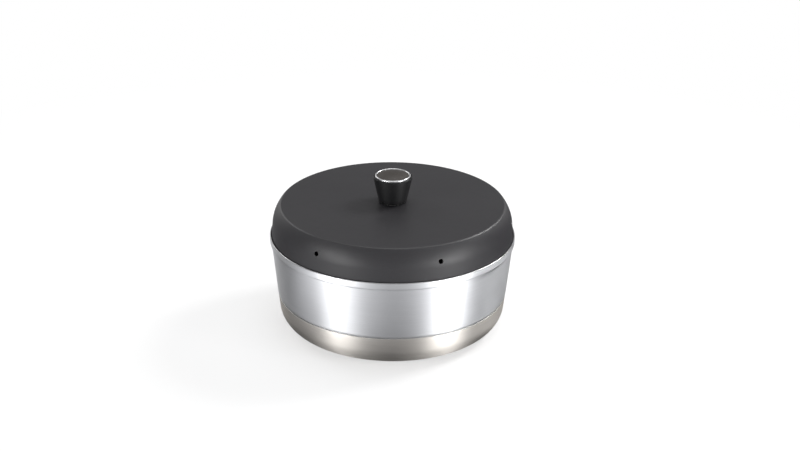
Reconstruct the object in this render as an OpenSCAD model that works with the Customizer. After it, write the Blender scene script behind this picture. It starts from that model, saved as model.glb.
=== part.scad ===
// Round stovetop camp oven: a base, a baking tin with a flue, a wire rack and a cover with a knob.
// Millimetres, +Z up. The origin is the centre of the base's underside, and every piece lies
// where it rests in the closed oven. The front of the oven faces -Y.

/* [Baking tin] */
// Outside diameter of the tin over its rim
tin_rim_d = 260; // [235:1:290]
// Height of the tin from its underside to its rim
tin_h = 73.5; // [60:0.5:95]
// Thickness of the tin's sheet
tin_sheet = 1.5; // [1:0.1:2]
// Lean of the tin's wall from upright, in degrees
tin_lean = 6; // [3:0.5:9]
// Depth of the upright mouth that the cover drops into
mouth_h = 6.4; // [5:0.1:9]
// Width of the sloping ledge under the mouth
ledge_w = 1.6; // [1.4:0.1:2.2]
// Height of the step that the rack lies on, above the tin's underside
step_h = 8; // [7:0.5:12]
// Width of that step
step_w = 6.4; // [5.5:0.1:9]

/* [Flue of the tin] */
// Diameter of the hole at the top of the flue
flue_hole_d = 50; // [40:1:58]
// Diameter of the flue where its wall meets its rounded top
flue_top_d = 76; // [72:1:84]
// Height of the flue's top above the tin's rim
flue_rise = 1; // [0:0.5:4]
// Lean of the flue's wall from upright, in degrees
flue_lean = 16.5; // [10:0.5:18]
// Radius of the rounded top of the flue
flue_lip_r = 5; // [4:0.5:12]

/* [Base] */
// Height of the base from its underside to its rim
base_h = 35.5; // [30:0.5:45]
// Thickness of the base's sheet
base_sheet = 0.8; // [0.6:0.1:1.2]
// Lean of the base's wall from upright, in degrees
base_lean = 6.5; // [3:0.5:10]
// Radius of the round between the base's wall and its bottom
base_corner_r = 24; // [14:1:26]
// Height of the cone in the middle of the base
cone_h = 17.3; // [12:0.1:24]
// Diameter of the burner hole at the top of the cone
cone_hole_d = 50; // [40:1:60]
// Diameter of the cone's shoulder
cone_shoulder_d = 74; // [68:1:84]
// Diameter of the cone's foot
cone_foot_d = 115; // [100:1:125]

/* [Cover] */
// Height of the cover's crease above its lower edge
cover_h = 40.2; // [36:0.1:50]
// Thickness of the cover's sheet
cover_sheet = 1.2; // [0.8:0.1:1.5]
// How far the crease round the top lies inside the widest part of the skirt
crease_inset = 9.6; // [8:0.1:12]
// Rise of the top from its crease to its middle
crown = 2; // [0.5:0.1:5]
// Radius of the skirt's round shoulder
shoulder_r = 36; // [20:1:36]
// Number of vent holes round the skirt
vent_count = 6; // [4:1:8]
// Diameter of a vent hole
vent_d = 5; // [3:0.5:7]
// Height of the vent holes above the cover's lower edge
vent_h = 25.5; // [20:0.5:28]

/* [Knob] */
// Height of the knob's body
knob_h = 27.5; // [22:0.5:36]
// Diameter of the knob at its foot
knob_foot_d = 30; // [24:0.5:34]
// Diameter of the knob at its top
knob_top_d = 41.5; // [40:0.5:46]
// Outside diameter of the bright ring in the knob's top
trim_d = 37.5; // [32:0.5:38]
// Rise of the cap above the bright ring
cap_rise = 3.5; // [2:0.5:6]
// Diameter of the knob's screw
screw_d = 4; // [3:0.5:5]
// Length of the screw's shank
screw_l = 14; // [12:0.5:18]

/* [Rack] */
// Thickness of the rack's wire
wire_d = 2.5; // [2:0.1:3.5]
// Space between the outer ring and the tin's wall
rack_wall_gap = 2; // [1.8:0.1:4]
// Space between the inner ring and the flue
rack_flue_gap = 3.2; // [2:0.1:6]

/* [Fits] */
// Rest gap between pieces that lie on each other
seat_gap = 0.25; // [0.15:0.05:0.4]
// Gap all round between the cover's skirt and the tin's mouth
cover_gap = 0.3; // [0.2:0.05:0.4]
// Gap all round between fixed pieces that are pushed or screwed together
fit_gap = 0.03; // [0.02:0.01:0.06]

/* [Hidden] */
$fn = 96;
// Largest turn of one straight stretch in a bend, in degrees
BEND_STEP = 7.5;

// Baking tin, in heights above its own underside
TIN_RIM_R = tin_rim_d / 2;
MOUTH_R = TIN_RIM_R - tin_sheet;
LEDGE_TOP = tin_h - mouth_h;
LEDGE_FOOT = LEDGE_TOP - ledge_w;
WALL_TOP_R = MOUTH_R - ledge_w;
STEP_OUT_R = WALL_TOP_R - (LEDGE_FOOT - step_h) * tan(tin_lean);
STEP_IN_R = STEP_OUT_R - step_w;
STEP_DRAW = 0.8;
STEP_BEND = 3;
FOOT_BEND = 3;
FLUE_FOOT_BEND = 6;
FLUE_TOP = tin_h + flue_rise;
FLUE_CROWN = 0.5;
FLUE_FOOT_R = flue_top_d / 2 + (FLUE_TOP - tin_sheet) * tan(flue_lean);

// Base: its rim meets the round under the tin's step
RIM_INSET = 0.45;
BEND_R = STEP_OUT_R + STEP_BEND * tan(tin_lean) - STEP_BEND / cos(tin_lean);
BEND_Z = step_h + STEP_BEND;
UNDER_BEND = STEP_BEND + tin_sheet;
BASE_RIM_R = BEND_R + UNDER_BEND - RIM_INSET;
BASE_IN_R = BASE_RIM_R - base_sheet;
SEAT_Z = BEND_Z - sqrt(pow(UNDER_BEND, 2) - pow(BASE_IN_R - BEND_R, 2));
BASE_CORNER_R = BASE_IN_R - (base_h - base_sheet) * tan(base_lean);
SHOULDER_DROP = cone_h / 4;
CONE_BEND = 5;
CONE_FOOT_BEND = 6;
TIN_Z = base_h + seat_gap - SEAT_Z;

// Cover, in heights above its own lower edge
HEM_H = 3.5;
HEM_IN = 0.5;
SKIRT_R = MOUTH_R - cover_gap;
EDGE_R = SKIRT_R - HEM_IN;
CREASE_R = SKIRT_R - crease_inset;
CREASE_BEND = 2;
CREASE_ANGLE = 36;
SKIRT_ANGLE = 4;
SHOULDER_Z = (CREASE_R + cover_h * tan(CREASE_ANGLE) - SKIRT_R - HEM_H * tan(SKIRT_ANGLE))
    / (tan(CREASE_ANGLE) - tan(SKIRT_ANGLE));
SHOULDER_R = SKIRT_R - (SHOULDER_Z - HEM_H) * tan(SKIRT_ANGLE);
COVER_TOP = cover_h + crown;
CROWN_R = CREASE_R / 2;
CROWN_REACH = CREASE_R / 3;
CROWN_ANGLE = atan(crown / (CREASE_R - CROWN_R));
COVER_Z = TIN_Z + LEDGE_TOP - cover_gap - HEM_IN + seat_gap;
VENT_FIRST = -67;

// Knob and its fixings, in heights above the knob's foot
KNOB_ROUND = 1;
TRIM_DEPTH = 2.5;
TRIM_W = 2;
TRIM_RISE = 1.5;
CAP_R = trim_d / 2 - TRIM_W - fit_gap;
INSERT_R = screw_d / 2 + 2;
INSERT_L = 11;
SCREW_HOLE_R = screw_d / 2 + 0.3;
GASKET_H = 0.8;
GASKET_R = knob_foot_d / 2 - 1.5;
WASHER_H = 1;
WASHER_R = 6;
HEAD_R = screw_d * 0.95;
HEAD_H = screw_d * 0.6;
SLOT_W = 1;
SLOT_DEPTH = 1.1;
UNDER_TOP = COVER_Z + COVER_TOP - cover_sheet;
GASKET_Z = COVER_Z + COVER_TOP + fit_gap;
KNOB_Z = GASKET_Z + GASKET_H;
WASHER_Z = UNDER_TOP - WASHER_H;
SCREW_REACH = WASHER_Z + screw_l - KNOB_Z;

// Rack: its spokes lie on the tin's step and carry the rings
RING_COUNT = 4;
WELD_DEPTH = 0.2;
SPOKE_Z = TIN_Z + step_h + seat_gap + wire_d / 2;
RING_Z = SPOKE_Z + wire_d - WELD_DEPTH;
RING_OVER_TIN = RING_Z - TIN_Z;
RING_OUT_R = STEP_OUT_R + (RING_OVER_TIN - step_h) * tan(tin_lean) - rack_wall_gap - wire_d / 2;
RING_IN_R = flue_top_d / 2 + (FLUE_TOP - RING_OVER_TIN) * tan(flue_lean) + rack_flue_gap
    + wire_d / 2;
RING_PITCH = (RING_OUT_R - RING_IN_R) / (RING_COUNT - 1);
SPOKE_END = min(RING_OUT_R, BEND_R - 0.1);

STAINLESS = [0.66, 0.64, 0.61];
ALUMINIUM = [0.8, 0.81, 0.83];
BRIGHT_WIRE = [0.76, 0.76, 0.76];
CHARCOAL = [0.3, 0.3, 0.31];
BLACK = [0.08, 0.08, 0.09];
DARK_DISC = [0.3, 0.28, 0.26];
BRASS = [0.78, 0.63, 0.34];

// Direction from one point of a path to the next, in degrees
function heading(a, b) = atan2(b[1] - a[1], b[0] - a[0]);

// A turn brought into the range from -180 to 180 degrees
function wrap(a) = a > 180 ? a - 360 : a < -180 ? a + 360 : a;

// The bend at corner i of a path of [radius, height, inside bend radius], as a list of
// [radius, height, heading] along the upper face of a sheet of thickness t that lies on the
// right of the path
function bend(path, i, t) =
    let (h1 = heading(path[i - 1], path[i]),
         turn = wrap(heading(path[i], path[i + 1]) - h1),
         side = sign(turn),
         r = path[i][2] + (side < 0 ? t : 0),
         reach = r * tan(abs(turn) / 2),
         start = [path[i][0] - reach * cos(h1), path[i][1] - reach * sin(h1)],
         centre = start + side * r * [-sin(h1), cos(h1)],
         n = max(2, ceil(abs(turn) / BEND_STEP)))
    [for (j = [0 : n]) let (h = h1 + turn * j / n)
        [centre[0] + side * r * sin(h), centre[1] - side * r * cos(h), h]];

// All points along the upper face, each with its heading
function upper_face(path, t) =
    let (last = len(path) - 1)
    concat([[path[0][0], path[0][1], heading(path[0], path[1])]],
           [for (i = [1 : last - 1]) each bend(path, i, t)],
           [[path[last][0], path[last][1], heading(path[last - 1], path[last])]]);

// Outline of a pressed sheet: its upper face, then its lower face on the way back
function sheet_outline(path, t) =
    let (face = upper_face(path, t), last = len(face) - 1)
    concat([for (p = face) [p[0], p[1]]],
           [for (i = [last : -1 : 0])
               [face[i][0] + t * sin(face[i][2]), face[i][1] - t * cos(face[i][2])]]);

// A round pressing, turned from a path
module pressing(path, t) {
    rotate_extrude() polygon(sheet_outline(path, t));
}

// A dish with a round lower corner, an open rim, and a cone with the burner hole in its middle
module base_dish() {
    path = [[cone_hole_d / 2, cone_h],
        [cone_shoulder_d / 2, cone_h - SHOULDER_DROP, CONE_BEND],
        [cone_foot_d / 2, base_sheet, CONE_FOOT_BEND],
        [BASE_CORNER_R, base_sheet, base_corner_r - base_sheet],
        [BASE_IN_R, base_h]];
    color(STAINLESS) pressing(path, base_sheet);
}

// The ring tin: the flue with its round top, the floor, the rack's step, the leaning wall, the
// sloping ledge and the upright mouth, in one sheet
module baking_tin() {
    path = [[flue_hole_d / 2, FLUE_TOP + FLUE_CROWN],
        [flue_top_d / 2, FLUE_TOP, flue_lip_r - tin_sheet],
        [FLUE_FOOT_R, tin_sheet, FLUE_FOOT_BEND],
        [STEP_IN_R - STEP_DRAW, tin_sheet, FOOT_BEND],
        [STEP_IN_R, step_h, 1],
        [STEP_OUT_R, step_h, STEP_BEND],
        [WALL_TOP_R, LEDGE_FOOT, 0.5],
        [MOUTH_R, LEDGE_TOP, 0.8],
        [MOUTH_R, tin_h]];
    color(ALUMINIUM) translate([0, 0, TIN_Z]) pressing(path, tin_sheet);
}

// A round wire bent to a ring of radius r
module wire_ring(r, extra = 0) {
    rotate_extrude() translate([r, 0]) circle(d = wire_d + 2 * extra, $fn = 32);
}

// Ring i of the rack, counted inwards from the outer one
module rack_ring(i) {
    color(BRIGHT_WIRE) translate([0, 0, RING_Z]) wire_ring(RING_OUT_R - i * RING_PITCH);
}

// A straight spoke under the rings, with a saddle pressed into it at each of them
module rack_spoke(angle) {
    color(BRIGHT_WIRE) difference() {
        rotate([0, 0, angle]) translate([RING_IN_R, 0, SPOKE_Z]) rotate([0, 90, 0])
            cylinder(d = wire_d, h = SPOKE_END - RING_IN_R, $fn = 32);
        for (i = [0 : RING_COUNT - 1])
            translate([0, 0, RING_Z]) wire_ring(RING_OUT_R - i * RING_PITCH, fit_gap);
    }
}

// The lid: a low crown, a crease, a round-shouldered skirt with vent holes, and a drawn-in hem
module cover_shell() {
    path = [[SCREW_HOLE_R, COVER_TOP],
        [CROWN_R, COVER_TOP, CROWN_REACH / tan(CROWN_ANGLE / 2)],
        [CREASE_R, cover_h, CREASE_BEND],
        [SHOULDER_R, SHOULDER_Z, shoulder_r - cover_sheet],
        [SKIRT_R, HEM_H, 1],
        [EDGE_R, 0]];
    color(CHARCOAL) translate([0, 0, COVER_Z]) difference() {
        pressing(path, cover_sheet);
        for (i = [0 : vent_count - 1])
            rotate([0, 0, VENT_FIRST + i * 360 / vent_count]) translate([CREASE_R, 0, vent_h])
                rotate([0, 90, 0]) cylinder(d = vent_d, h = 2 * crease_inset);
    }
}

// A thin washer of felt that keeps the cover's heat and paint from the knob
module knob_gasket() {
    color(BLACK) translate([0, 0, GASKET_Z]) difference() {
        cylinder(r = GASKET_R, h = GASKET_H);
        translate([0, 0, -1]) cylinder(r = SCREW_HOLE_R, h = GASKET_H + 2);
    }
}

// The knob: an upturned cone with eased edges, a seat for the ring and cap in its top, and a
// bore for the threaded insert in its foot
module knob_body() {
    foot_r = knob_foot_d / 2;
    top_r = knob_top_d / 2;
    seat_r = trim_d / 2 + fit_gap;
    slope = atan((top_r - foot_r) / knob_h);
    round = [for (a = [-90 : 15 : 0])
        [foot_r - KNOB_ROUND + KNOB_ROUND * cos(a), KNOB_ROUND + KNOB_ROUND * sin(a)]];
    top_round = [for (a = [0 : 15 : 90])
        [top_r - KNOB_ROUND + KNOB_ROUND * cos(a), knob_h - KNOB_ROUND + KNOB_ROUND * sin(a)]];
    color(BLACK) translate([0, 0, KNOB_Z]) difference() {
        rotate_extrude() polygon(concat([[0, 0]], round, top_round, [[0, knob_h]]));
        translate([0, 0, knob_h - TRIM_DEPTH]) cylinder(r = seat_r, h = TRIM_DEPTH + 1);
        translate([0, 0, -1]) cylinder(r = INSERT_R + fit_gap, h = INSERT_L + fit_gap + 1);
        cylinder(r = screw_d / 2 + 2 * fit_gap, h = SCREW_REACH + 1);
    }
}

// The brass insert that the screw goes into, with its thread drawn as a plain bore
module knob_insert() {
    color(BRASS) translate([0, 0, KNOB_Z + fit_gap]) difference() {
        cylinder(r = INSERT_R, h = INSERT_L - fit_gap);
        translate([0, 0, -1]) cylinder(r = screw_d / 2 + fit_gap, h = INSERT_L + 2);
    }
}

// The bright ring round the cap, with a half-round crest
module knob_trim_ring() {
    out_r = trim_d / 2;
    crest = TRIM_DEPTH + TRIM_RISE - TRIM_W / 2;
    color(BRIGHT_WIRE) translate([0, 0, KNOB_Z + knob_h - TRIM_DEPTH + fit_gap])
        rotate_extrude() union() {
            translate([out_r - TRIM_W, 0]) square([TRIM_W, crest]);
            translate([out_r - TRIM_W / 2, crest]) circle(d = TRIM_W, $fn = 32);
        }
}

// The domed disc inside the ring
module knob_cap() {
    rim_h = TRIM_DEPTH + TRIM_RISE / 2;
    dome_r = (pow(CAP_R, 2) + pow(cap_rise, 2)) / (2 * cap_rise);
    color(DARK_DISC) translate([0, 0, KNOB_Z + knob_h - TRIM_DEPTH + fit_gap])
        rotate_extrude() intersection() {
            square([CAP_R, rim_h + cap_rise]);
            translate([0, rim_h + cap_rise - dome_r]) circle(r = dome_r, $fn = 180);
        }
}

// The washer under the screw's head, inside the cover
module knob_washer() {
    color(BRIGHT_WIRE) translate([0, 0, WASHER_Z]) difference() {
        cylinder(r = WASHER_R, h = WASHER_H - fit_gap);
        translate([0, 0, -1]) cylinder(r = SCREW_HOLE_R, h = WASHER_H + 2);
    }
}

// The slotted pan-head screw that comes up through the cover into the knob
module knob_screw() {
    color(BRIGHT_WIRE) translate([0, 0, WASHER_Z - fit_gap]) {
        cylinder(d = screw_d, h = screw_l);
        difference() {
            translate([0, 0, -HEAD_H]) cylinder(r1 = HEAD_R - 0.5, r2 = HEAD_R, h = HEAD_H);
            translate([-HEAD_R, -SLOT_W / 2, -HEAD_H - 1]) cube([2 * HEAD_R, SLOT_W, SLOT_DEPTH + 1]);
        }
    }
}

base_dish();
baking_tin();
rack_ring(0);  // rack_ring_outer
rack_ring(1);  // rack_ring_second
rack_ring(2);  // rack_ring_third
rack_ring(3);  // rack_ring_inner
rack_spoke(-45);  // rack_spoke_front_right
rack_spoke(45);  // rack_spoke_back_right
rack_spoke(135);  // rack_spoke_back_left
rack_spoke(-135);  // rack_spoke_front_left
cover_shell();
knob_gasket();
knob_body();
knob_insert();
knob_trim_ring();
knob_cap();
knob_washer();
knob_screw();
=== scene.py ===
import math

import bmesh
import bpy
from bpy.props import FloatProperty, FloatVectorProperty, IntProperty, PointerProperty
from bpy.types import Operator, Panel, PropertyGroup
from mathutils import Euler, Matrix, Vector, noise


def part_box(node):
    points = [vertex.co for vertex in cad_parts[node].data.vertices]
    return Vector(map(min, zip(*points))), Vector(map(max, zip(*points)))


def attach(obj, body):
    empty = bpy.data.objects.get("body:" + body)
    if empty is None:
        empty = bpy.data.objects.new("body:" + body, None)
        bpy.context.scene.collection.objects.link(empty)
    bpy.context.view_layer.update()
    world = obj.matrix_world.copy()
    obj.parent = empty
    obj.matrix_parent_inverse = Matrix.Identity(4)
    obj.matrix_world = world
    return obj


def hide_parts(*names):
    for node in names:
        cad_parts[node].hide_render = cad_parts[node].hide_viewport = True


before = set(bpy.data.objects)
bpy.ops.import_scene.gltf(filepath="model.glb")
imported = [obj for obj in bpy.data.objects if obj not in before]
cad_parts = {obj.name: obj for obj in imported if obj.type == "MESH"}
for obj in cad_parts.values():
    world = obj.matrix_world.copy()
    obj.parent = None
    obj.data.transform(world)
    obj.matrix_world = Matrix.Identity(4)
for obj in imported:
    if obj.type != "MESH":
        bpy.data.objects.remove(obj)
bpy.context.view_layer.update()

bl_info = {
    "name": "Stovetop Camp Oven",
    "version": (1, 0, 0),
    "blender": (4, 5, 0),
    "location": "View3D > Sidebar > Camp Oven",
    "description": "Pressings, wire rack, knob and finishes of the round stovetop camp oven",
    "category": "Object",
}

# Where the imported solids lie, in metres
BASE_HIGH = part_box("base_dish")[1]
TIN_LOW, TIN_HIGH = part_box("baking_tin")
COVER_LOW, COVER_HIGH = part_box("cover_shell")
GASKET_LOW, GASKET_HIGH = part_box("knob_gasket")
KNOB_LOW, KNOB_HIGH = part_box("knob_body")
TRIM_LOW, TRIM_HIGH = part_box("knob_trim_ring")
CAP_LOW, CAP_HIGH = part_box("knob_cap")
RING_NODES = ("rack_ring_outer", "rack_ring_second", "rack_ring_third", "rack_ring_inner")
SPOKE_NODES = {"rack_spoke_front_right": -45, "rack_spoke_back_right": 45,
               "rack_spoke_back_left": 135, "rack_spoke_front_left": -135}

# How finely round things are drawn
TURN_STEPS = 256
KNOB_STEPS = 160
FELT_STEPS = 128
WIRE_SIDES = 24
VENT_SIDES = 40
EDGE_STEPS = 8
BEND_STEP = math.radians(2.5)
SHARP_ANGLE = math.radians(38)

# Lengths too small for a user to change, in metres
ON_AXIS = 1e-7
SEAT_GAP = 0.00003
FLOOR_LEVEL = -0.0003

# The stretches of a sheet's outline, which are also its material slots
FACE, EDGE, BACK, FLUE, MOUTH = 0, 1, 2, 3, 4


class TinSettings(PropertyGroup):
    """Sizes and colours of the ring-shaped baking tin."""
    height: FloatProperty(name="Height", description="Underside to rim", default=0.0735,
                          unit="LENGTH")
    sheet: FloatProperty(name="Sheet", description="Thickness of the sheet", default=0.0015,
                         unit="LENGTH")
    lean: FloatProperty(name="Wall Lean", description="Lean of the wall from upright",
                        default=math.radians(6), subtype="ANGLE")
    mouth: FloatProperty(name="Mouth Depth", description="Depth of the upright mouth",
                         default=0.0064, unit="LENGTH")
    ledge: FloatProperty(name="Ledge Width", description="Width of the sloping ledge",
                         default=0.0016, unit="LENGTH")
    step_height: FloatProperty(name="Step Height", description="Height of the rack's step",
                               default=0.008, unit="LENGTH")
    step_width: FloatProperty(name="Step Width", description="Width of the rack's step",
                              default=0.0064, unit="LENGTH")
    flue_hole: FloatProperty(name="Flue Hole", description="Diameter of the flue's hole",
                             default=0.050, unit="LENGTH")
    flue_top: FloatProperty(name="Flue Top", description="Diameter of the flue under its lip",
                            default=0.076, unit="LENGTH")
    flue_lip: FloatProperty(name="Flue Lip", description="Radius of the flue's round lip",
                            default=0.005, unit="LENGTH")
    flue_lean: FloatProperty(name="Flue Lean", description="Lean of the flue's wall from upright",
                             default=math.radians(16.5), subtype="ANGLE")
    metal: FloatVectorProperty(name="Metal", description="Brushed aluminium of the outside",
                               size=3, default=(0.86, 0.87, 0.89), subtype="COLOR")
    flue_metal: FloatVectorProperty(name="Flue Inside", description="Dull, darkened metal",
                                    size=3, default=(0.10, 0.10, 0.105), subtype="COLOR")
    coat: FloatVectorProperty(name="Coat", description="Black non-stick coat of the inside",
                              size=3, default=(0.003, 0.003, 0.0038), subtype="COLOR")


class BaseSettings(PropertyGroup):
    """Sizes and colour of the dish-shaped base."""
    sheet: FloatProperty(name="Sheet", description="Thickness of the sheet", default=0.0008,
                         unit="LENGTH")
    lean: FloatProperty(name="Wall Lean", description="Lean of the wall from upright",
                        default=math.radians(6.5), subtype="ANGLE")
    corner: FloatProperty(name="Corner", description="Outside radius between wall and bottom",
                          default=0.024, unit="LENGTH")
    cone_height: FloatProperty(name="Cone Height", description="Height of the cone's edge",
                               default=0.0173, unit="LENGTH")
    burner_hole: FloatProperty(name="Burner Hole", description="Diameter of the hole in the cone",
                               default=0.050, unit="LENGTH")
    shoulder: FloatProperty(name="Cone Shoulder", description="Diameter of the cone's shoulder",
                            default=0.074, unit="LENGTH")
    foot: FloatProperty(name="Cone Foot", description="Diameter of the cone's foot",
                        default=0.115, unit="LENGTH")
    metal: FloatVectorProperty(name="Metal", description="Satin stainless steel",
                               size=3, default=(0.78, 0.745, 0.70), subtype="COLOR")


class CoverSettings(PropertyGroup):
    """Sizes and colours of the cover."""
    sheet: FloatProperty(name="Sheet", description="Thickness of the sheet", default=0.0012,
                         unit="LENGTH")
    crown: FloatProperty(name="Crown", description="Rise of the top from crease to middle",
                         default=0.002, unit="LENGTH")
    crease_inset: FloatProperty(name="Crease Inset", default=0.0096, unit="LENGTH",
                                description="How far the crease lies inside the skirt")
    shoulder: FloatProperty(name="Shoulder", description="Radius of the skirt's shoulder",
                            default=0.036, unit="LENGTH")
    vents: IntProperty(name="Vents", description="Number of vent holes", default=6, min=1)
    vent_size: FloatProperty(name="Vent Size", description="Diameter of a vent hole",
                             default=0.005, unit="LENGTH")
    vent_height: FloatProperty(name="Vent Height", description="Vent holes above the lower edge",
                               default=0.0255, unit="LENGTH")
    vent_first: FloatProperty(name="First Vent", description="Direction of the first vent hole",
                              default=math.radians(-67), subtype="ANGLE")
    paint: FloatVectorProperty(name="Paint", description="Satin charcoal coat",
                               size=3, default=(0.0205, 0.0198, 0.022), subtype="COLOR")


class RackSettings(PropertyGroup):
    """Sizes and colour of the wire rack."""
    weld_swell: FloatProperty(name="Butt Weld", description="How much a ring swells at its weld",
                              default=0.10, subtype="FACTOR")
    nugget: FloatProperty(name="Spot Weld", description="Width of a spot weld",
                          default=0.0034, unit="LENGTH")
    metal: FloatVectorProperty(name="Wire", description="Polished wire",
                               size=3, default=(0.78, 0.78, 0.79), subtype="COLOR")


class KnobSettings(PropertyGroup):
    """Sizes and colours of the knob and its fixings."""
    foot: FloatProperty(name="Foot", description="Diameter of the knob's foot", default=0.030,
                        unit="LENGTH")
    easing: FloatProperty(name="Easing", description="Radius of the eased edges",
                          default=0.001, unit="LENGTH")
    recess: FloatProperty(name="Recess", description="Depth of the seat for ring and cap",
                          default=0.0025, unit="LENGTH")
    ring_width: FloatProperty(name="Ring Width", description="Width of the bright ring",
                              default=0.002, unit="LENGTH")
    cap_rise: FloatProperty(name="Cap Rise", description="Rise of the domed cap",
                            default=0.0035, unit="LENGTH")
    screw_hole: FloatProperty(name="Screw Hole", description="Diameter of the hole for the screw",
                              default=0.0046, unit="LENGTH")
    plastic: FloatVectorProperty(name="Plastic", description="Black moulded plastic",
                                 size=3, default=(0.004, 0.004, 0.0045), subtype="COLOR")
    cap: FloatVectorProperty(name="Cap", description="Dark lacquered cap",
                             size=3, default=(0.034, 0.029, 0.025), subtype="COLOR")


class StageSettings(PropertyGroup):
    """Floor, light and camera."""
    floor_size: FloatProperty(name="Floor", description="Width of the floor", default=9.0,
                              unit="LENGTH")
    camera_place: FloatVectorProperty(name="Camera", description="Where the camera stands", size=3,
                                      default=(0.0080, -1.675, 0.8335), subtype="TRANSLATION")
    camera_tilt: FloatProperty(name="Tilt", description="Camera's tilt up from straight down",
                               default=math.radians(66.59), subtype="ANGLE")
    camera_roll: FloatProperty(name="Roll", description="Camera's roll",
                               default=math.radians(0.55), subtype="ANGLE")
    lens: FloatProperty(name="Lens", description="Focal length on a 36 mm sensor", default=77.3,
                        unit="CAMERA")
    floor_colour: FloatVectorProperty(name="Floor Colour", description="Pale floor",
                                      size=3, default=(0.90, 0.90, 0.90), subtype="COLOR")


# Outlines of pressed sheets. A path follows the sheet's upper face from the middle outwards, in
# points of (radius, height). A corner between its ends also has the radius of the bend's inside.

def heading(a, b):
    """Direction from one (radius, height) point to another."""
    return math.atan2(b[1] - a[1], b[0] - a[0])


def within_half_turn(angle):
    """The same direction, as an angle from -pi to pi."""
    return (angle + math.pi) % math.tau - math.pi


def bend(before, corner, after, sheet):
    """Points of the upper face round one corner, each with its heading."""
    start = heading(before, corner)
    turn = within_half_turn(heading(corner, after) - start)
    side = math.copysign(1, turn)
    radius = corner[2] + (sheet if side < 0 else 0)
    reach = radius * math.tan(abs(turn) / 2)
    centre = (corner[0] - reach * math.cos(start) - side * radius * math.sin(start),
              corner[1] - reach * math.sin(start) + side * radius * math.cos(start))
    steps = max(3, math.ceil(abs(turn) / BEND_STEP))
    points = []
    for i in range(steps + 1):
        h = start + turn * i / steps
        points.append((centre[0] + side * radius * math.sin(h),
                       centre[1] - side * radius * math.cos(h), h))
    return points


def upper_face(path, sheet):
    """Points of the whole upper face, each with its heading, pulled back for the rounded edges."""
    first = heading(path[0], path[1])
    last = heading(path[-2], path[-1])
    back = sheet / 2
    face = [(path[0][0] + back * math.cos(first), path[0][1] + back * math.sin(first), first)]
    for i in range(1, len(path) - 1):
        face += bend(path[i - 1], path[i], path[i + 1], sheet)
    face.append((path[-1][0] - back * math.cos(last), path[-1][1] - back * math.sin(last), last))
    return face


def rounded_edge(point, sheet, away):
    """Points of the half-round at a cut edge. away is 1 at the path's end and -1 at its start."""
    radius, height, h = point
    half = sheet / 2
    centre = (radius + half * math.sin(h), height - half * math.cos(h))
    points = []
    for i in range(1, EDGE_STEPS):
        a = math.pi * i / EDGE_STEPS
        across, along = -math.cos(a) * away * half, math.sin(a) * away * half
        points.append((centre[0] + across * math.sin(h) + along * math.cos(h),
                       centre[1] - across * math.cos(h) + along * math.sin(h)))
    return points


def sheet_outline(path, sheet, level=0):
    """Closed outline of a pressed sheet at a level, and the stretch that starts at each point."""
    face = upper_face(path, sheet)
    back = [(r + sheet * math.sin(h), z - sheet * math.cos(h)) for r, z, h in reversed(face)]
    end = rounded_edge(face[-1], sheet, 1)
    start = rounded_edge(face[0], sheet, -1)
    points = [(r, z + level) for r, z, *_ in face + end + back + start]
    stretches = ([FACE] * (len(face) - 1) + [EDGE] * (len(end) + 1)
                 + [BACK] * (len(back) - 1) + [EDGE] * (len(start) + 1))
    return points, stretches


def arc(centre, radius, start, end, steps):
    """Points on an arc, with angles in degrees."""
    angles = [math.radians(start + (end - start) * i / steps) for i in range(steps + 1)]
    return [(centre[0] + radius * math.cos(a), centre[1] + radius * math.sin(a)) for a in angles]


# Meshes

def smooth(mesh):
    """Smooth shading that keeps real edges."""
    mesh.polygons.foreach_set("use_smooth", [True] * len(mesh.polygons))
    mesh.set_sharp_from_angle(angle=SHARP_ANGLE)


def end_piece(name, work, mesh=None, materials=()):
    """Ends a mesh being made, and puts it in the scene as a smooth object."""
    mesh = mesh or bpy.data.meshes.new(name)
    work.to_mesh(mesh)
    work.free()
    smooth(mesh)
    for material in materials:
        mesh.materials.append(material)
    piece = bpy.data.objects.new(name, mesh)
    bpy.context.scene.collection.objects.link(piece)
    return piece


def new_piece(name, vertices, faces, materials, slots=None):
    """A piece from its vertices and faces, with the faces turned outwards."""
    mesh = bpy.data.meshes.new(name)
    mesh.from_pydata(vertices, [], faces)
    for material in materials:
        mesh.materials.append(material)
    if slots:
        mesh.polygons.foreach_set("material_index", slots)
    work = bmesh.new()
    work.from_mesh(mesh)
    bmesh.ops.recalc_face_normals(work, faces=work.faces)
    return end_piece(name, work, mesh)


def lathe(name, outline, materials, stretches=None, closed=True, steps=TURN_STEPS):
    """A turned piece from its outline of (radius, height). A radius of 0 makes a pole."""
    turns = [math.tau * j / steps for j in range(steps)]
    vertices, rows = [], []
    for radius, height in outline:
        first = len(vertices)
        if radius < ON_AXIS:
            vertices.append((0, 0, height))
            rows.append([first] * steps)
        else:
            vertices += [(radius * math.cos(a), radius * math.sin(a), height) for a in turns]
            rows.append(range(first, first + steps))
    faces, slots = [], []
    for i in range(len(rows) if closed else len(rows) - 1):
        here, there = rows[i], rows[(i + 1) % len(rows)]
        for j in range(steps):
            k = (j + 1) % steps
            corners = list(dict.fromkeys((here[j], here[k], there[k], there[j])))
            if len(corners) > 2:
                faces.append(corners)
                slots.append(stretches[i] if stretches else 0)
    return new_piece(name, vertices, faces, materials, slots)


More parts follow.
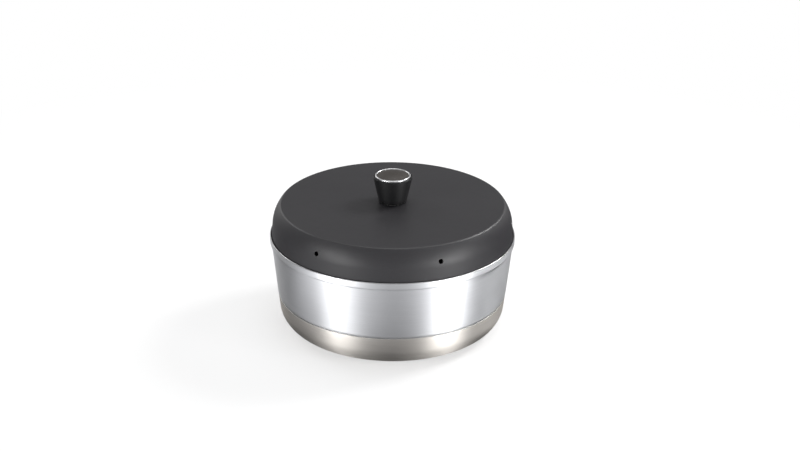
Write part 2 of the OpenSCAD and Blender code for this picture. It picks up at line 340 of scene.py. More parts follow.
def wire_ring(name, radius, height, wire, weld_at, swell, material):
    """A ring of round wire that swells a little where its ends are butt-welded."""
    weld_reach = 0.8 * wire
    vertices, faces = [], []
    for j in range(TURN_STEPS):
        a = math.tau * j / TURN_STEPS
        from_weld = within_half_turn(a - weld_at) * radius
        r = wire / 2 * (1 + swell * math.exp(-(from_weld / weld_reach) ** 2))
        for i in range(WIRE_SIDES):
            b = math.tau * i / WIRE_SIDES
            out = radius + r * math.cos(b)
            vertices.append((out * math.cos(a), out * math.sin(a), height + r * math.sin(b)))
            nj, ni = (j + 1) % TURN_STEPS, (i + 1) % WIRE_SIDES
            faces.append((j * WIRE_SIDES + i, nj * WIRE_SIDES + i,
                          nj * WIRE_SIDES + ni, j * WIRE_SIDES + ni))
    return new_piece(name, vertices, faces, [material])


def wire_spoke(name, angle, start, end, height, wire, material):
    """A straight wire from one radius to another, with eased cut ends."""
    ease, length = wire * 0.16, end - start
    tip = [(wire / 2 - ease + ease * math.sin(a), ease * (1 - math.cos(a)))
           for a in map(math.radians, range(0, 91, 15))]
    outline = [(0, 0)] + tip + [(r, length - x) for r, x in reversed(tip)] + [(0, length)]
    spoke = lathe(name, outline, [material], closed=False, steps=WIRE_SIDES)
    spoke.data.transform(Matrix.Rotation(angle, 4, "Z") @ Matrix.Translation((start, 0, height))
                         @ Matrix.Rotation(math.radians(90), 4, "Y"))
    return spoke


def nugget(work, centre, width, height, seed, lumps=0.16, lump_scale=3.1):
    """One lumpy spot weld, added to a mesh being made."""
    made = bmesh.ops.create_icosphere(work, subdivisions=3, radius=0.5)
    for vertex in made["verts"]:
        sample = vertex.co * lump_scale + Vector((seed, -seed, seed * 0.5))
        spot = vertex.co * (1 + lumps * noise.noise(sample))
        vertex.co = Vector((spot.x * width, spot.y * width, spot.z * height)) + centre


def seat(piece, body, slot, *nodes):
    """Lets a piece ride on its body and stand for its solids. The slot is not used."""
    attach(piece, body)
    if nodes:
        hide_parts(*nodes)


# Node helpers

def fill(tree, node, inputs):
    """Fills a node's inputs with values or with other nodes' outputs."""
    for socket, value in inputs.items():
        if isinstance(value, bpy.types.NodeSocket):
            tree.links.new(value, node.inputs[socket])
        else:
            node.inputs[socket].default_value = value


def place(tree, kind, inputs=None, **options):
    """Adds a node, sets its options and fills its inputs."""
    made = tree.nodes.new(kind)
    for option, value in options.items():
        setattr(made, option, value)
    fill(tree, made, inputs or {})
    return made


def maths(tree, operation, *values, clamp=False):
    """The result of one Math node."""
    return place(tree, "ShaderNodeMath", dict(enumerate(values)), operation=operation,
                 use_clamp=clamp).outputs[0]


def times(tree, first, second):
    """The product of two values."""
    return maths(tree, "MULTIPLY", first, second)


def remap(tree, value, low, high, to_low=0.0, to_high=1.0):
    """A value brought from one range to another, and held there."""
    return place(tree, "ShaderNodeMapRange", {"Value": value, "From Min": low, "From Max": high,
                                              "To Min": to_low, "To Max": to_high}).outputs[0]


def vary(tree, pattern, low=0.0, high=1.0):
    """A noise pattern, which lies mostly between 0.3 and 0.7, spread from low to high."""
    return remap(tree, pattern, 0.3, 0.7, low, high)


def shade(colour, factor):
    """A colour made lighter or darker."""
    return tuple(min(1.0, c * factor) for c in colour)


def blend_colours(tree, mask, first, second):
    """first where the mask is 0, second where it is 1."""
    first, second = [colour if isinstance(colour, bpy.types.NodeSocket) else (*colour[:3], 1)
                     for colour in (first, second)]
    return place(tree, "ShaderNodeMix", {0: mask, 6: first, 7: second},
                 data_type="RGBA").outputs[2]


def mix_shaders(tree, mask, first, second):
    """first where the mask is 0, second where it is 1."""
    return place(tree, "ShaderNodeMixShader", {0: mask, 1: first, 2: second}).outputs[0]


def empty_tree(owner):
    """The emptied node tree of a material or world."""
    owner.use_nodes = True
    owner.node_tree.nodes.clear()
    return owner.node_tree


def new_group(name, numbers, outputs, kind="NodeSocketFloat"):
    """An empty node group that takes a vector and named numbers, and its inner sockets."""
    group = bpy.data.node_groups.new(name, "ShaderNodeTree")
    group.interface.new_socket(name="Vector", in_out="INPUT", socket_type="NodeSocketVector")
    for label, value in numbers.items():
        socket = group.interface.new_socket(name=label, in_out="INPUT",
                                            socket_type="NodeSocketFloat")
        socket.default_value = value
    for label in outputs:
        group.interface.new_socket(name=label, in_out="OUTPUT", socket_type=kind)
    return group, place(group, "NodeGroupInput").outputs, place(group, "NodeGroupOutput")


def use_group(tree, build, where, **numbers):
    """Places the node group that a function builds, which is built once, and gives its outputs."""
    name = build.__name__.replace("_", " ").title()
    group = bpy.data.node_groups.get(name) or build(name)
    inputs = {label.replace("_", " "): value for label, value in numbers.items()}
    return place(tree, "ShaderNodeGroup", {"Vector": where, **inputs}, node_tree=group).outputs


# Effects that several finishes share

def spin_lines(name):
    """Fine lines round the axis, as a spun or brushed pressing has them."""
    group, given, out = new_group(name, {"Fineness": 2500.0, "Break Up": 1.5}, ("Lines",))
    x, y, z = place(group, "ShaderNodeSeparateXYZ", {0: given["Vector"]}).outputs
    radius = maths(group, "SQRT", maths(group, "ADD", times(group, x, x), times(group, y, y)))
    off_axis = maths(group, "MAXIMUM", radius, 0.0001)
    round_x, round_y = [times(group, maths(group, "DIVIDE", side, off_axis), given["Break Up"])
                        for side in (x, y)]
    where = place(group, "ShaderNodeCombineXYZ",
                  {0: round_x, 1: round_y, 2: times(group, z, given["Fineness"])})
    lines = place(group, "ShaderNodeTexNoise",
                  {"Vector": where.outputs[0], "W": times(group, radius, given["Fineness"]),
                   "Scale": 1.0, "Detail": 3.0, "Roughness": 0.65}, noise_dimensions="4D")
    fill(group, out, {"Lines": lines.outputs[0]})
    return group


def handling_marks(name):
    """Soft patches where the finish was touched and wiped."""
    group, given, out = new_group(name, {"Scale": 22.0}, ("Mask",))
    patches = place(group, "ShaderNodeTexNoise",
                    {"Vector": given["Vector"], "Scale": given["Scale"], "Detail": 4.0,
                     "Roughness": 0.55, "Distortion": 0.6})
    fill(group, out, {"Mask": remap(group, patches.outputs[0], 0.42, 0.72)})
    return group


def fine_grain(name):
    """The even grain of a sprayed or moulded surface, with a few larger specks."""
    group, given, out = new_group(name, {"Scale": 1800.0}, ("Grain", "Specks"))
    grain = place(group, "ShaderNodeTexNoise",
                  {"Vector": given["Vector"], "Scale": given["Scale"], "Detail": 2.0,
                   "Roughness": 0.6})
    cells = place(group, "ShaderNodeTexVoronoi",
                  {"Vector": given["Vector"], "Scale": times(group, given["Scale"], 0.35)})
    specks = remap(group, cells.outputs["Distance"], 0.06, 0.16, 1.0, 0.0)
    fill(group, out, {"Grain": grain.outputs[0], "Specks": specks})
    return group


def rub_and_shade_band(name):
    """A streaky band round the axis at one height, where pieces slide on each other; on the
    cover's hem it carries painted shade.
    """
    group, given, out = new_group(name, {"Height": 0.0, "Width": 0.002}, ("Mask",))
    height = place(group, "ShaderNodeSeparateXYZ", {0: given["Vector"]}).outputs[2]
    away = maths(group, "ABSOLUTE", maths(group, "SUBTRACT", height, given["Height"]))
    band = maths(group, "SUBTRACT", 1.0, maths(group, "DIVIDE", away, given["Width"]), clamp=True)
    streaks = use_group(group, spin_lines, given["Vector"], Fineness=3500.0, Break_Up=6.0)["Lines"]
    fill(group, out, {"Mask": times(group, band, remap(group, streaks, 0.42, 0.62))})
    return group


def studio_bands(name):
    """How bright the room is in each direction round the oven: soft panels, and dark between."""
    group, given, out = new_group(name, {}, ("Bands",), "NodeSocketColor")
    x, y, _ = place(group, "ShaderNodeSeparateXYZ", {0: given["Vector"]}).outputs
    from_front = maths(group, "ARCTAN2", x, times(group, y, -1.0))
    ramp = place(group, "ShaderNodeValToRGB", {0: remap(group, from_front, -math.pi, math.pi)})
    ramp.color_ramp.interpolation = "EASE"
    # Degrees from the front towards the right, and the brightness there
    levels = ((-180, 0.55), (-150, 0.44), (-134, 0.34), (-108, 0.12), (-93, 0.20), (-70, 0.92),
              (-24, 1.0), (-12, 0.82), (1, 0.60), (12, 0.66), (24, 1.0), (55, 0.98), (73, 0.48),
              (94, 0.14), (126, 0.08), (156, 0.20), (180, 0.55))
    stops = ramp.color_ramp.elements
    while len(stops) < len(levels):
        stops.new(0.5)
    for stop, (degrees, level) in zip(stops, levels):
        stop.position = (degrees + 180) / 360
        stop.color = (level, level, level * 1.02, 1)
    fill(group, out, {"Bands": ramp.outputs[0]})
    return group


# Finishes

def new_finish(name, **constants):
    """A material, its Principled shader with sockets that stay the same, and its coordinates."""
    material = bpy.data.materials.new(name)
    tree = empty_tree(material)
    shader = place(tree, "ShaderNodeBsdfPrincipled", {socket.replace("_", " "): value
                                                      for socket, value in constants.items()})
    place(tree, "ShaderNodeOutputMaterial", {"Surface": shader.outputs[0]})
    where = place(tree, "ShaderNodeTexCoord").outputs["Object"]
    return material, tree, shader, where


def dress(tree, shader, tone, rough, height, depth, strength):
    """Gives the shader its changing colour and roughness, and fine relief from a height."""
    bump = place(tree, "ShaderNodeBump", {"Strength": strength, "Distance": depth,
                                          "Height": height})
    fill(tree, shader, {"Base Color": tone, "Roughness": rough, "Normal": bump.outputs[0]})


def brushed_metal(name, colour, gloss, fineness, rub_height=None):
    """Spun or brushed sheet metal: lines round the axis, wiped patches and a rubbed band."""
    material, tree, shader, where = new_finish(name, Metallic=1.0, Anisotropic=0.82,
                                               Anisotropic_Rotation=0.25)
    lines = use_group(tree, spin_lines, where, Fineness=fineness, Break_Up=2.2)["Lines"]
    marks = use_group(tree, handling_marks, where, Scale=26.0)["Mask"]
    tone = blend_colours(tree, vary(tree, lines), shade(colour, 0.95), shade(colour, 1.03))
    tone = blend_colours(tree, times(tree, marks, 0.5), tone, shade(colour, 0.93))
    rough = maths(tree, "ADD", vary(tree, lines, gloss - 0.04, gloss + 0.05),
                  times(tree, marks, 0.06))
    if rub_height is not None:
        band_mask = use_group(tree, rub_and_shade_band, where, Height=rub_height, Width=0.0030)["Mask"]
        tone = blend_colours(tree, band_mask, tone, shade(colour, 1.12))
        rough = maths(tree, "SUBTRACT", rough, times(tree, band_mask, 0.08))
    dress(tree, shader, tone, rough, lines, 0.00002, 0.5)
    tangent = place(tree, "ShaderNodeTangent", direction_type="RADIAL", axis="Z")
    fill(tree, shader, {"Tangent": tangent.outputs[0]})
    return material


def sprayed_coat(name, colour, gloss, scale, depth, rub_height=None, rub_colour=None, **constants):
    """A sprayed coat: even grain, a few specks, wiped patches and a band at one height, which is
    rubbed wear on the tin and painted shade on the cover's hem.
    """
    material, tree, shader, where = new_finish(name, Metallic=0.0, **constants)
    coat = use_group(tree, fine_grain, where, Scale=scale)
    marks = use_group(tree, handling_marks, where, Scale=19.0)["Mask"]
    tone = blend_colours(tree, vary(tree, coat["Grain"]), shade(colour, 0.86), shade(colour, 1.14))
    tone = blend_colours(tree, times(tree, coat["Specks"], 0.5), tone, shade(colour, 1.7))
    rough = maths(tree, "ADD", vary(tree, coat["Grain"], gloss - 0.03, gloss + 0.03),
                  times(tree, marks, 0.07))
    if rub_height is not None:
        # On the cover's hem this band is dark painted shade; on the tin it is lighter rubbed wear.
        band_mask = use_group(tree, rub_and_shade_band, where, Height=rub_height, Width=0.0012)["Mask"]
        tone = blend_colours(tree, times(tree, band_mask, 0.5), tone, rub_colour)
    dress(tree, shader, tone, rough, coat["Grain"], depth, 0.6)
    return material


def polished_wire(name, colour, gloss):
    """Bright drawn wire or plated trim, with faint marks."""
    material, tree, shader, where = new_finish(name, Metallic=1.0)
    marks = use_group(tree, handling_marks, where, Scale=130.0)["Mask"]
    grain = use_group(tree, fine_grain, where, Scale=2600.0)["Grain"]
    tone = blend_colours(tree, times(tree, marks, 0.6), colour, shade(colour, 0.82))
    rough = maths(tree, "ADD", vary(tree, grain, gloss - 0.03, gloss + 0.03),
                  times(tree, marks, 0.12))
    dress(tree, shader, tone, rough, grain, 0.00001, 0.5)
    return material


def weld_metal(name, colour):
    """Spot welds: duller than the wire, with a straw heat tint."""
    material, tree, shader, where = new_finish(name, Metallic=1.0)
    tint = use_group(tree, handling_marks, where, Scale=500.0)["Mask"]
    grain = use_group(tree, fine_grain, where, Scale=1500.0)["Grain"]
    tone = blend_colours(tree, tint, shade(colour, 0.9),
                         (colour[0] * 0.85, colour[1] * 0.76, colour[2] * 0.62))
    dress(tree, shader, tone, vary(tree, grain, 0.26, 0.42), grain, 0.00006, 0.7)
    return material


def bare_edge(name, colour, gloss):
    """A cut edge of bare sheet, with lines from the tool."""
    material, tree, shader, where = new_finish(name, Metallic=1.0)
    lines = use_group(tree, spin_lines, where, Fineness=6000.0, Break_Up=9.0)["Lines"]
    tone = blend_colours(tree, vary(tree, lines), shade(colour, 0.82), shade(colour, 1.06))
    dress(tree, shader, tone, vary(tree, lines, gloss - 0.06, gloss + 0.08), lines, 0.00003, 0.6)
    return material


def moulded_plastic(name, colour):
    """Moulded plastic with a fine eroded grain, polished a little by hands."""
    material, tree, shader, where = new_finish(name, Metallic=0.0, IOR=1.46,
                                               Specular_IOR_Level=0.25)
    grain = use_group(tree, fine_grain, where, Scale=2400.0)["Grain"]
    marks = use_group(tree, handling_marks, where, Scale=70.0)["Mask"]
    tone = blend_colours(tree, vary(tree, grain), shade(colour, 0.8), shade(colour, 1.3))
    rough = maths(tree, "SUBTRACT", vary(tree, grain, 0.48, 0.58), times(tree, marks, 0.08))
    dress(tree, shader, tone, rough, grain, 0.00003, 0.5)
    return material


def pressed_felt(name):
    """Dark felt with short matted fibres."""
    material, tree, shader, where = new_finish(name, Metallic=0.0, Sheen_Weight=0.3)
    fibres = place(tree, "ShaderNodeTexNoise",
                   {"Vector": where, "Scale": 900.0, "Detail": 6.0, "Roughness": 0.7,
                    "Distortion": 1.8}).outputs[0]
    tone = blend_colours(tree, fibres, (0.012, 0.012, 0.012), (0.05, 0.048, 0.046))
    dress(tree, shader, tone, remap(tree, fibres, 0.2, 0.8, 0.85, 1.0), fibres, 0.0002, 0.8)
    return material


def turned_metal(name, colour, gloss):
    """Small turned parts, such as the brass insert, the washer and the screw."""
    material, tree, shader, where = new_finish(name, Metallic=1.0)
    lines = use_group(tree, spin_lines, where, Fineness=9000.0, Break_Up=0.4)["Lines"]
    marks = use_group(tree, handling_marks, where, Scale=240.0)["Mask"]
    tone = blend_colours(tree, times(tree, marks, 0.7), colour, shade(colour, 0.7))
    dress(tree, shader, tone, vary(tree, lines, gloss - 0.05, gloss + 0.08), lines, 0.00003, 0.5)
    return material


# Operators, one for each piece or group of like pieces

class CAMPOVEN_OT_base(Operator):
    """Make the base: a satin stainless dish with a cone and a burner hole"""
    bl_idname = "campoven.base"
    bl_label = "Base"

    def execute(self, context):
        size = context.scene.campoven_base
        height, rim = BASE_HIGH.z, BASE_HIGH.x
        inner_rim = rim - size.sheet
        corner_r = inner_rim - (height - size.sheet) * math.tan(size.lean)
        shoulder_drop = size.cone_height / 4
        shoulder_bend, foot_bend = 0.005, 0.006
        path = [(size.burner_hole / 2, size.cone_height),
                (size.shoulder / 2, size.cone_height - shoulder_drop, shoulder_bend),
                (size.foot / 2, size.sheet, foot_bend),
                (corner_r, size.sheet, size.corner - size.sheet),
                (inner_rim, height)]
        points, stretches = sheet_outline(path, size.sheet)
        steel = brushed_metal("base_satin_steel", size.metal, gloss=0.47, fineness=1900.0,
                              rub_height=height - 0.003)
        edge = bare_edge("base_cut_edge", (0.55, 0.54, 0.52), gloss=0.40)
        piece = lathe("base_pressing", points, [steel, edge, steel], stretches)
        seat(piece, "base", "base_steel", "base_dish")
        return {"FINISHED"}


class CAMPOVEN_OT_tin(Operator):
    """Make the baking tin: brushed outside, black non-stick inside, bare cut edges"""
    bl_idname = "campoven.tin"
    bl_label = "Baking Tin"

    def execute(self, context):
        size = context.scene.campoven_tin
        level = TIN_LOW.z
        mouth_r = TIN_HIGH.x - size.sheet
        ledge_top = size.height - size.mouth
        ledge_foot = ledge_top - size.ledge
        wall_top_r = mouth_r - size.ledge
        step_out = wall_top_r - (ledge_foot - size.step_height) * math.tan(size.lean)
        step_in = step_out - size.step_width
        riser_lean = 0.0008
        flue_edge = TIN_HIGH.z - level
        lip_crown = 0.0005
        flue_top = flue_edge - lip_crown
        flue_foot = size.flue_top / 2 + (flue_top - size.sheet) * math.tan(size.flue_lean)
        flue_bend, floor_bend, step_bend, wall_bend = 0.006, 0.003, 0.001, 0.003
        ledge_foot_bend, ledge_top_bend = 0.0005, 0.0008
        path = [(size.flue_hole / 2, flue_edge),
                (size.flue_top / 2, flue_top, size.flue_lip - size.sheet),
                (flue_foot, size.sheet, flue_bend),
                (step_in - riser_lean, size.sheet, floor_bend),
                (step_in, size.step_height, step_bend),
                (step_out, size.step_height, wall_bend),
                (wall_top_r, ledge_foot, ledge_foot_bend),
                (mouth_r, ledge_top, ledge_top_bend),
                (mouth_r, size.height)]
        points, stretches = sheet_outline(path, size.sheet, level)
        # The flue's inside is dark, and the coat changes in the mouth, from under the ledge up
        mouth_from = level + ledge_foot - 0.0015
        stretches = [FLUE if s == BACK and r < flue_foot and z > size.sheet + level else
                     MOUTH if s == FACE and z > mouth_from and r > step_out else s
                     for s, (r, z) in zip(stretches, points)]
        rubbed = {"rub_height": level + size.height - 0.0045, "rub_colour": (0.012, 0.012, 0.013)}
        coat, seated = [sprayed_coat(name, size.coat, gloss, scale=900.0, depth=0.00002, IOR=ior,
                                     **rubbed)
                        for name, gloss, ior in (("tin_nonstick", 0.23, 1.62),
                                                 ("tin_nonstick_mouth", 0.58, 1.42))]
        edge = bare_edge("tin_cut_edge", (0.50, 0.50, 0.51), gloss=0.30)
        metal = brushed_metal("tin_brushed_aluminium", size.metal, gloss=0.46, fineness=2600.0)
        dark_flue = brushed_metal("tin_flue_darkened", size.flue_metal, gloss=0.50,
                                 fineness=1400.0)
        piece = lathe("tin_pressing", points, [coat, edge, metal, dark_flue, seated], stretches)
        seat(piece, "tin", "tin_aluminium", "baking_tin")
        return {"FINISHED"}


class CAMPOVEN_OT_rack(Operator):
    """Make the rack: four butt-welded rings, four spokes and their spot welds"""
    bl_idname = "campoven.rack"
    bl_label = "Rack"

    def execute(self, context):
        look = context.scene.campoven_rack
        bright = polished_wire("rack_polished_wire", look.metal, gloss=0.27)
        first_weld, weld_turn = 100, 95
        radii = []
        for i, node in enumerate(RING_NODES):
            low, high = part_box(node)
            wire = high.z - low.z
            radii.append(high.x - wire / 2)
            ring = wire_ring(node + "_wire", radii[-1], (low.z + high.z) / 2, wire,
                             math.radians(first_weld + weld_turn * i), look.weld_swell, bright)
            seat(ring, "rack", "rack_wire", node)
        rings_foot = low.z
        for node, degrees in SPOKE_NODES.items():
            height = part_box(node)[0].z + wire / 2
            spoke = wire_spoke(node + "_wire", math.radians(degrees), radii[-1], radii[0], height,
                               wire, bright)
            seat(spoke, "rack", "rack_wire", node)
        self.weld(look, radii, rings_foot)
        return {"FINISHED"}

    def weld(self, look, radii, rings_foot):
        """A flat lump where each spoke meets each ring, a little inside the outer ring."""
        flatness, lift, inset = 0.55, 0.0001, 0.0003
        work = bmesh.new()
        for i, degrees in enumerate(SPOKE_NODES.values()):
            a = math.radians(degrees)
            for j, radius in enumerate(radii):
                r = radius - (inset if j == 0 else 0)
                centre = Vector((r * math.cos(a), r * math.sin(a), rings_foot + lift))
                nugget(work, centre, look.nugget, look.nugget * flatness,
                       seed=i * 4.7 + j * 1.3)
        welds = end_piece("rack_welds", work, materials=[weld_metal("rack_spot_weld", look.metal)])
        seat(welds, "rack", "rack_wire")


class CAMPOVEN_OT_cover(Operator):
    """Make the cover: a charcoal pressing with a crease, a round shoulder and vent holes"""
    bl_idname = "campoven.cover"
    bl_label = "Cover"

    def execute(self, context):
        size = context.scene.campoven_cover
        hole_r = context.scene.campoven_knob.screw_hole / 2
        level, top = COVER_LOW.z, COVER_HIGH.z - COVER_LOW.z
        skirt = COVER_HIGH.x
        crease_r = skirt - size.crease_inset
        crease_h = top - size.crown
        hem, hem_in = 0.0035, 0.0005
        crease_bend, hem_bend = 0.002, 0.001
        # The skirt leans 4 degrees above its hem, and the cover falls at 36 below the crease
        steep, flat = math.tan(math.radians(4)), math.tan(math.radians(36))
        shoulder_h = (crease_r + crease_h * flat - skirt - hem * steep) / (flat - steep)
        shoulder_r = skirt - (shoulder_h - hem) * steep
        crown_angle = math.atan(size.crown / (crease_r / 2))
        crown_bend = crease_r / 3 / math.tan(crown_angle / 2)
        path = [(hole_r, top),
                (crease_r / 2, top, crown_bend),
                (crease_r, crease_h, crease_bend),
                (shoulder_r, shoulder_h, size.shoulder - size.sheet),
                (skirt, hem, hem_bend),
                (skirt - hem_in, 0)]
        points, stretches = sheet_outline(path, size.sheet, level)
        # The dark band just above the hem is painted shade.
        paint = sprayed_coat("cover_charcoal", size.paint, gloss=0.43, scale=1500.0,
                             depth=0.00004, rub_height=level + 0.0017,
                             rub_colour=(0.004, 0.004, 0.004), IOR=1.44)
        inside = sprayed_coat("cover_inside", shade(size.paint, 0.7), gloss=0.5, scale=1300.0,
                              depth=0.00004, IOR=1.45)
        edge = bare_edge("cover_cut_edge", (0.42, 0.42, 0.43), gloss=0.34)
        piece = lathe("cover_pressing", points, [paint, edge, inside], stretches)
        self.cut_vents(piece, size, level + size.vent_height)
        seat(piece, "cover", "cover_coat", "cover_shell")
        return {"FINISHED"}

    def cut_vents(self, piece, size, height):
        """Cuts the vent holes, and gives their walls the bare edge's finish."""
        radius = size.vent_size / 2
        middle = Vector((0, 0, height))
        turns = [size.vent_first + math.tau * i / size.vents for i in range(size.vents)]
        axes = [Vector((math.cos(a), math.sin(a), 0)) for a in turns]
        work = bmesh.new()
        for axis in axes:
            drill = axis.to_track_quat("Z", "Y").to_matrix().to_4x4()
            drill.translation = middle + axis * (COVER_HIGH.x - size.crease_inset / 2)
            bmesh.ops.create_cone(work, cap_ends=True, segments=VENT_SIDES, radius1=radius,
                                  radius2=radius, depth=size.crease_inset * 2.2, matrix=drill)
        cutter = end_piece("vent_cutter", work)
        cut = piece.modifiers.new("vents", "BOOLEAN")
        cut.operation, cut.object, cut.solver = "DIFFERENCE", cutter, "EXACT"
        bpy.context.view_layer.update()
        piece.data = bpy.data.meshes.new_from_object(
            piece.evaluated_get(bpy.context.evaluated_depsgraph_get()))
        piece.modifiers.clear()
        bpy.data.objects.remove(cutter)
        for face in piece.data.polygons:
            for axis in axes:
                off = face.center - middle
                along = off.dot(axis)
                on_wall = (off - axis * along).length < radius * 1.01
                if along > 0 and on_wall and abs(face.normal.dot(axis)) < 0.3:
                    face.material_index = EDGE
        smooth(piece.data)


class CAMPOVEN_OT_knob(Operator):
    """Make the knob: its moulded body, bright ring, domed cap, felt gasket and metal fixings"""
    bl_idname = "campoven.knob"
    bl_label = "Knob"

    def execute(self, context):
        size = context.scene.campoven_knob
        self.make_body(size)
        self.make_trim(size)
        self.make_cap(size)
        self.make_gasket(size)
        brass = turned_metal("insert_brass", (0.78, 0.60, 0.30), gloss=0.30)
        plated = turned_metal("screw_plated", (0.70, 0.70, 0.68), gloss=0.26)
        for node, finish in (("knob_insert", brass), ("knob_washer", plated),
                             ("knob_screw", plated)):
            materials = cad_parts[node].data.materials
            materials.clear()
            materials.append(finish)
        return {"FINISHED"}

    def make_body(self, size):
        """The upturned cone with its eased edges, ring seat and insert bore."""
        low, high, top = KNOB_LOW.z, KNOB_HIGH.z, KNOB_HIGH.x
        foot, ease, seat_ease = size.foot / 2, size.easing, 0.0003
        seat_r, seat_h = TRIM_HIGH.x + SEAT_GAP, high - size.recess
        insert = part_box("knob_insert")[1]
        bore, bore_top = insert.x + SEAT_GAP, insert.z + SEAT_GAP
        lean = math.degrees(math.atan2(top - foot, high - low))
        outline = [(bore, low)]
        outline += arc((foot - ease, low + ease), ease, -90, lean, 10)
        outline += arc((top - ease, high - ease), ease, lean, 90, 12)
        outline += arc((seat_r + seat_ease, high - seat_ease), seat_ease, 90, 180, 5)
        outline += [(seat_r, seat_h), (0, seat_h), (0, bore_top), (bore, bore_top)]
        plastic = moulded_plastic("knob_plastic", size.plastic)
        body = lathe("knob_moulding", outline, [plastic], steps=KNOB_STEPS)
        seat(body, "cover", "knob_plastic", "knob_body")

    def make_trim(self, size):
        """The bright half-round ring."""
        low, out, half = TRIM_LOW.z, TRIM_HIGH.x, size.ring_width / 2
        outline = [(out - size.ring_width, low), (out, low)]
        outline += arc((out - half, TRIM_HIGH.z - half), half, 0, 180, 20)
        chrome = polished_wire("trim_chrome", (0.66, 0.66, 0.67), gloss=0.26)
        ring = lathe("knob_bright_ring", outline, [chrome], steps=KNOB_STEPS)
        seat(ring, "cover", "trim_chrome", "knob_trim_ring")

    def make_cap(self, size):
        """The domed cap inside the ring."""
        rim, rise = CAP_HIGH.x, size.cap_rise
        dome = (rim ** 2 + rise ** 2) / (2 * rise)
        spread = math.degrees(math.asin(rim / dome))
        outline = [(0, CAP_LOW.z), (rim, CAP_LOW.z)]
        outline += arc((0, CAP_HIGH.z - dome), dome, 90 - spread, 90, 28)[:-1]
        outline += [(0, CAP_HIGH.z)]
        lacquer = sprayed_coat("cap_lacquer", size.cap, gloss=0.44, scale=1600.0,
                               depth=0.00002, IOR=1.42)
        cap = lathe("knob_domed_cap", outline, [lacquer], steps=KNOB_STEPS)
        seat(cap, "cover", "cap_coat", "knob_cap")

    def make_gasket(self, size):
        """The felt gasket, with soft edges."""
        low, high, out = GASKET_LOW.z, GASKET_HIGH.z, GASKET_HIGH.x
        hole, ease = size.screw_hole / 2, (high - low) / 2
        outline = [(hole, low)] + arc((out - ease, low + ease), ease, -90, 90, 10) + [(hole, high)]
        felt = pressed_felt("gasket_felt")
        gasket = lathe("knob_felt_gasket", outline, [felt], steps=FELT_STEPS)
        seat(gasket, "cover", "gasket_felt", "knob_gasket")


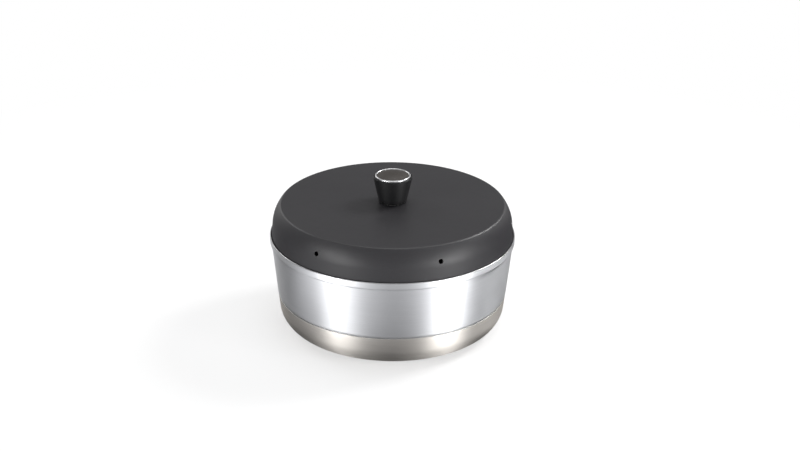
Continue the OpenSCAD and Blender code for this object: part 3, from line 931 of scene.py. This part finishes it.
class CAMPOVEN_OT_stage(Operator):
    """Set up the pale floor, the soft studio light and the camera"""
    bl_idname = "campoven.stage"
    bl_label = "Stage"

    def execute(self, context):
        size = context.scene.campoven_stage
        self.make_floor(size)
        self.light_world(context.scene)
        self.add_lamps(context.scene)
        self.set_camera(context.scene, size)
        return {"FINISHED"}

    def make_floor(self, size):
        """A pale floor that keeps the oven's shadow, and fades out far away.

        Metal mirrors the studio's bands in it, and close to the oven they are painted dark, as a
        painted shadow."""
        half = size.floor_size / 2
        corners = [(-half, -half, FLOOR_LEVEL), (half, -half, FLOOR_LEVEL),
                   (half, half, FLOOR_LEVEL), (-half, half, FLOOR_LEVEL)]
        material = bpy.data.materials.new("floor_pale")
        tree = empty_tree(material)
        where = place(tree, "ShaderNodeTexCoord").outputs["Object"]
        ray = place(tree, "ShaderNodeLightPath").outputs
        far = place(tree, "ShaderNodeVectorMath", {0: where}, operation="LENGTH").outputs["Value"]
        lit = place(tree, "ShaderNodeBsdfDiffuse", {"Color": (*size.floor_colour, 1)}).outputs[0]
        white = place(tree, "ShaderNodeEmission", {"Color": (1, 1, 1, 1), "Strength": 1.0})
        # far is the distance from the oven's axis in metres
        # The bands that metal mirrors are painted dark close to the oven: a painted shadow.
        mirrored = place(tree, "ShaderNodeEmission",
                         {"Color": use_group(tree, studio_bands, where)["Bands"],
                          "Strength": remap(tree, far, 0.148, 0.29, 0.06, 1.04)})
        shown = mix_shaders(tree, remap(tree, far, 0.22, 0.85, 0.55, 1.0), lit, white.outputs[0])
        seen = mix_shaders(tree, ray["Is Camera Ray"], lit, shown)
        polished = maths(tree, "ADD", ray["Is Glossy Ray"], ray["Is Transmission Ray"], clamp=True)
        both = mix_shaders(tree, polished, seen, mirrored.outputs[0])
        clear = place(tree, "ShaderNodeBsdfTransparent").outputs[0]
        surface = mix_shaders(tree, remap(tree, far, half * 0.45, half * 0.95), both, clear)
        place(tree, "ShaderNodeOutputMaterial", {"Surface": surface})
        new_piece("floor", corners, [(0, 1, 2, 3)], [material])

    def light_world(self, scene):
        """A white surround for the camera, and soft panels for light and gloss."""
        world = bpy.data.worlds.new("soft_room")
        scene.world = world
        tree = empty_tree(world)
        where = place(tree, "ShaderNodeTexCoord").outputs["Generated"]
        up = place(tree, "ShaderNodeSeparateXYZ", {0: where}).outputs[2]
        room = blend_colours(tree, remap(tree, up, 0.45, 0.9),
                             use_group(tree, studio_bands, where)["Bands"], (0.9, 0.9, 0.9))
        room = blend_colours(tree, self.back_panels(tree, where), room, (2.6, 2.57, 2.52))
        light = place(tree, "ShaderNodeBackground", {"Color": room, "Strength": 0.55})
        white = place(tree, "ShaderNodeBackground", {"Color": (1, 1, 1, 1), "Strength": 1.0})
        camera_ray = place(tree, "ShaderNodeLightPath").outputs["Is Camera Ray"]
        surface = mix_shaders(tree, camera_ray, light.outputs[0], white.outputs[0])
        place(tree, "ShaderNodeOutputWorld", {"Surface": surface})

    def back_panels(self, tree, where):
        """Where the two bright panels stand, low behind the oven on either side.

        Their edges are parts of a direction's unit vector, and each fades over a short range."""
        x, y, up = place(tree, "ShaderNodeSeparateXYZ", {0: where}).outputs
        aside = maths(tree, "ABSOLUTE", x)
        across = times(tree, remap(tree, aside, 0.28, 0.42),
                       remap(tree, aside, 0.62, 0.80, 1.0, 0.0))
        behind = times(tree, remap(tree, y, 0.0, 0.2), remap(tree, up, 0.46, 0.62, 1.0, 0.0))
        weaker_right = remap(tree, x, -0.05, 0.25, 1.0, 0.5)
        return times(tree, weaker_right, times(tree, across, behind))

    def add_lamps(self, scene):
        """Low strips and small panels beside the camera, two rim lamps and a broad one above."""
        target = Vector((0, 0, 0.10))
        # Name, place, width and height in metres, and watts
        lamps = (("strip_left", (-1.12, -1.12, 0.075), 0.70, 0.13, 6.8),
                 ("strip_right", (1.22, -1.02, 0.075), 0.75, 0.13, 13.5),
                 ("flue_left", (-1.08, -0.77, 0.42), 0.26, 0.32, 4.3),
                 ("flue_right", (1.15, -0.64, 0.42), 0.24, 0.32, 3.8),
                 ("rim_right", (1.30, 0.70, 1.30), 0.60, 0.60, 27.0),
                 ("rim_left", (-1.20, 0.90, 1.10), 0.55, 0.55, 5.0),
                 ("ceiling", (0.1, 0.35, 1.9), 1.2, 1.2, 10.0))
        for name, spot, width, tall, power in lamps:
            data = bpy.data.lights.new(name, "AREA")
            data.shape, data.size, data.size_y, data.energy = "RECTANGLE", width, tall, power
            lamp = bpy.data.objects.new(name, data)
            lamp.location = spot
            lamp.rotation_euler = (target - lamp.location).to_track_quat("-Z", "Y").to_euler()
            scene.collection.objects.link(lamp)

    def set_camera(self, scene, size):
        """The photograph's camera."""
        data = bpy.data.cameras.new("photo_camera")
        data.lens, data.sensor_width = size.lens, 36.0
        camera = bpy.data.objects.new("photo_camera", data)
        tilt = Euler((size.camera_tilt, 0, 0)).to_matrix()
        roll = Euler((0, 0, size.camera_roll)).to_matrix()
        camera.matrix_world = (tilt @ roll).to_4x4()
        camera.location = size.camera_place
        scene.collection.objects.link(camera)
        scene.camera = camera
        scene.view_settings.view_transform = "Standard"


class CAMPOVEN_PT_parts(Panel):
    """The oven's pieces, in the order in which they are made"""
    bl_label = "Camp Oven"
    bl_space_type = "VIEW_3D"
    bl_region_type = "UI"
    bl_category = "Camp Oven"

    def draw(self, context):
        for operator in OPERATORS:
            self.layout.operator(operator.bl_idname)


SETTINGS = {"campoven_base": BaseSettings, "campoven_tin": TinSettings,
            "campoven_rack": RackSettings, "campoven_cover": CoverSettings,
            "campoven_knob": KnobSettings, "campoven_stage": StageSettings}
OPERATORS = (CAMPOVEN_OT_base, CAMPOVEN_OT_tin, CAMPOVEN_OT_rack, CAMPOVEN_OT_cover,
             CAMPOVEN_OT_knob, CAMPOVEN_OT_stage)


def register():
    """Registers the settings, the operators and the panel."""
    for name, group in SETTINGS.items():
        bpy.utils.register_class(group)
        setattr(bpy.types.Scene, name, PointerProperty(type=group))
    for operator in OPERATORS:
        bpy.utils.register_class(operator)
    bpy.utils.register_class(CAMPOVEN_PT_parts)


def unregister():
    """Takes all of them away again."""
    bpy.utils.unregister_class(CAMPOVEN_PT_parts)
    for operator in reversed(OPERATORS):
        bpy.utils.unregister_class(operator)
    for name, group in reversed(SETTINGS.items()):
        delattr(bpy.types.Scene, name)
        bpy.utils.unregister_class(group)


def main():
    """Makes the whole oven and its stage."""
    register()
    for operator in OPERATORS:
        area, name = operator.bl_idname.split(".")
        getattr(getattr(bpy.ops, area), name)()
    bpy.context.view_layer.update()


if __name__ == "__main__":
    main()
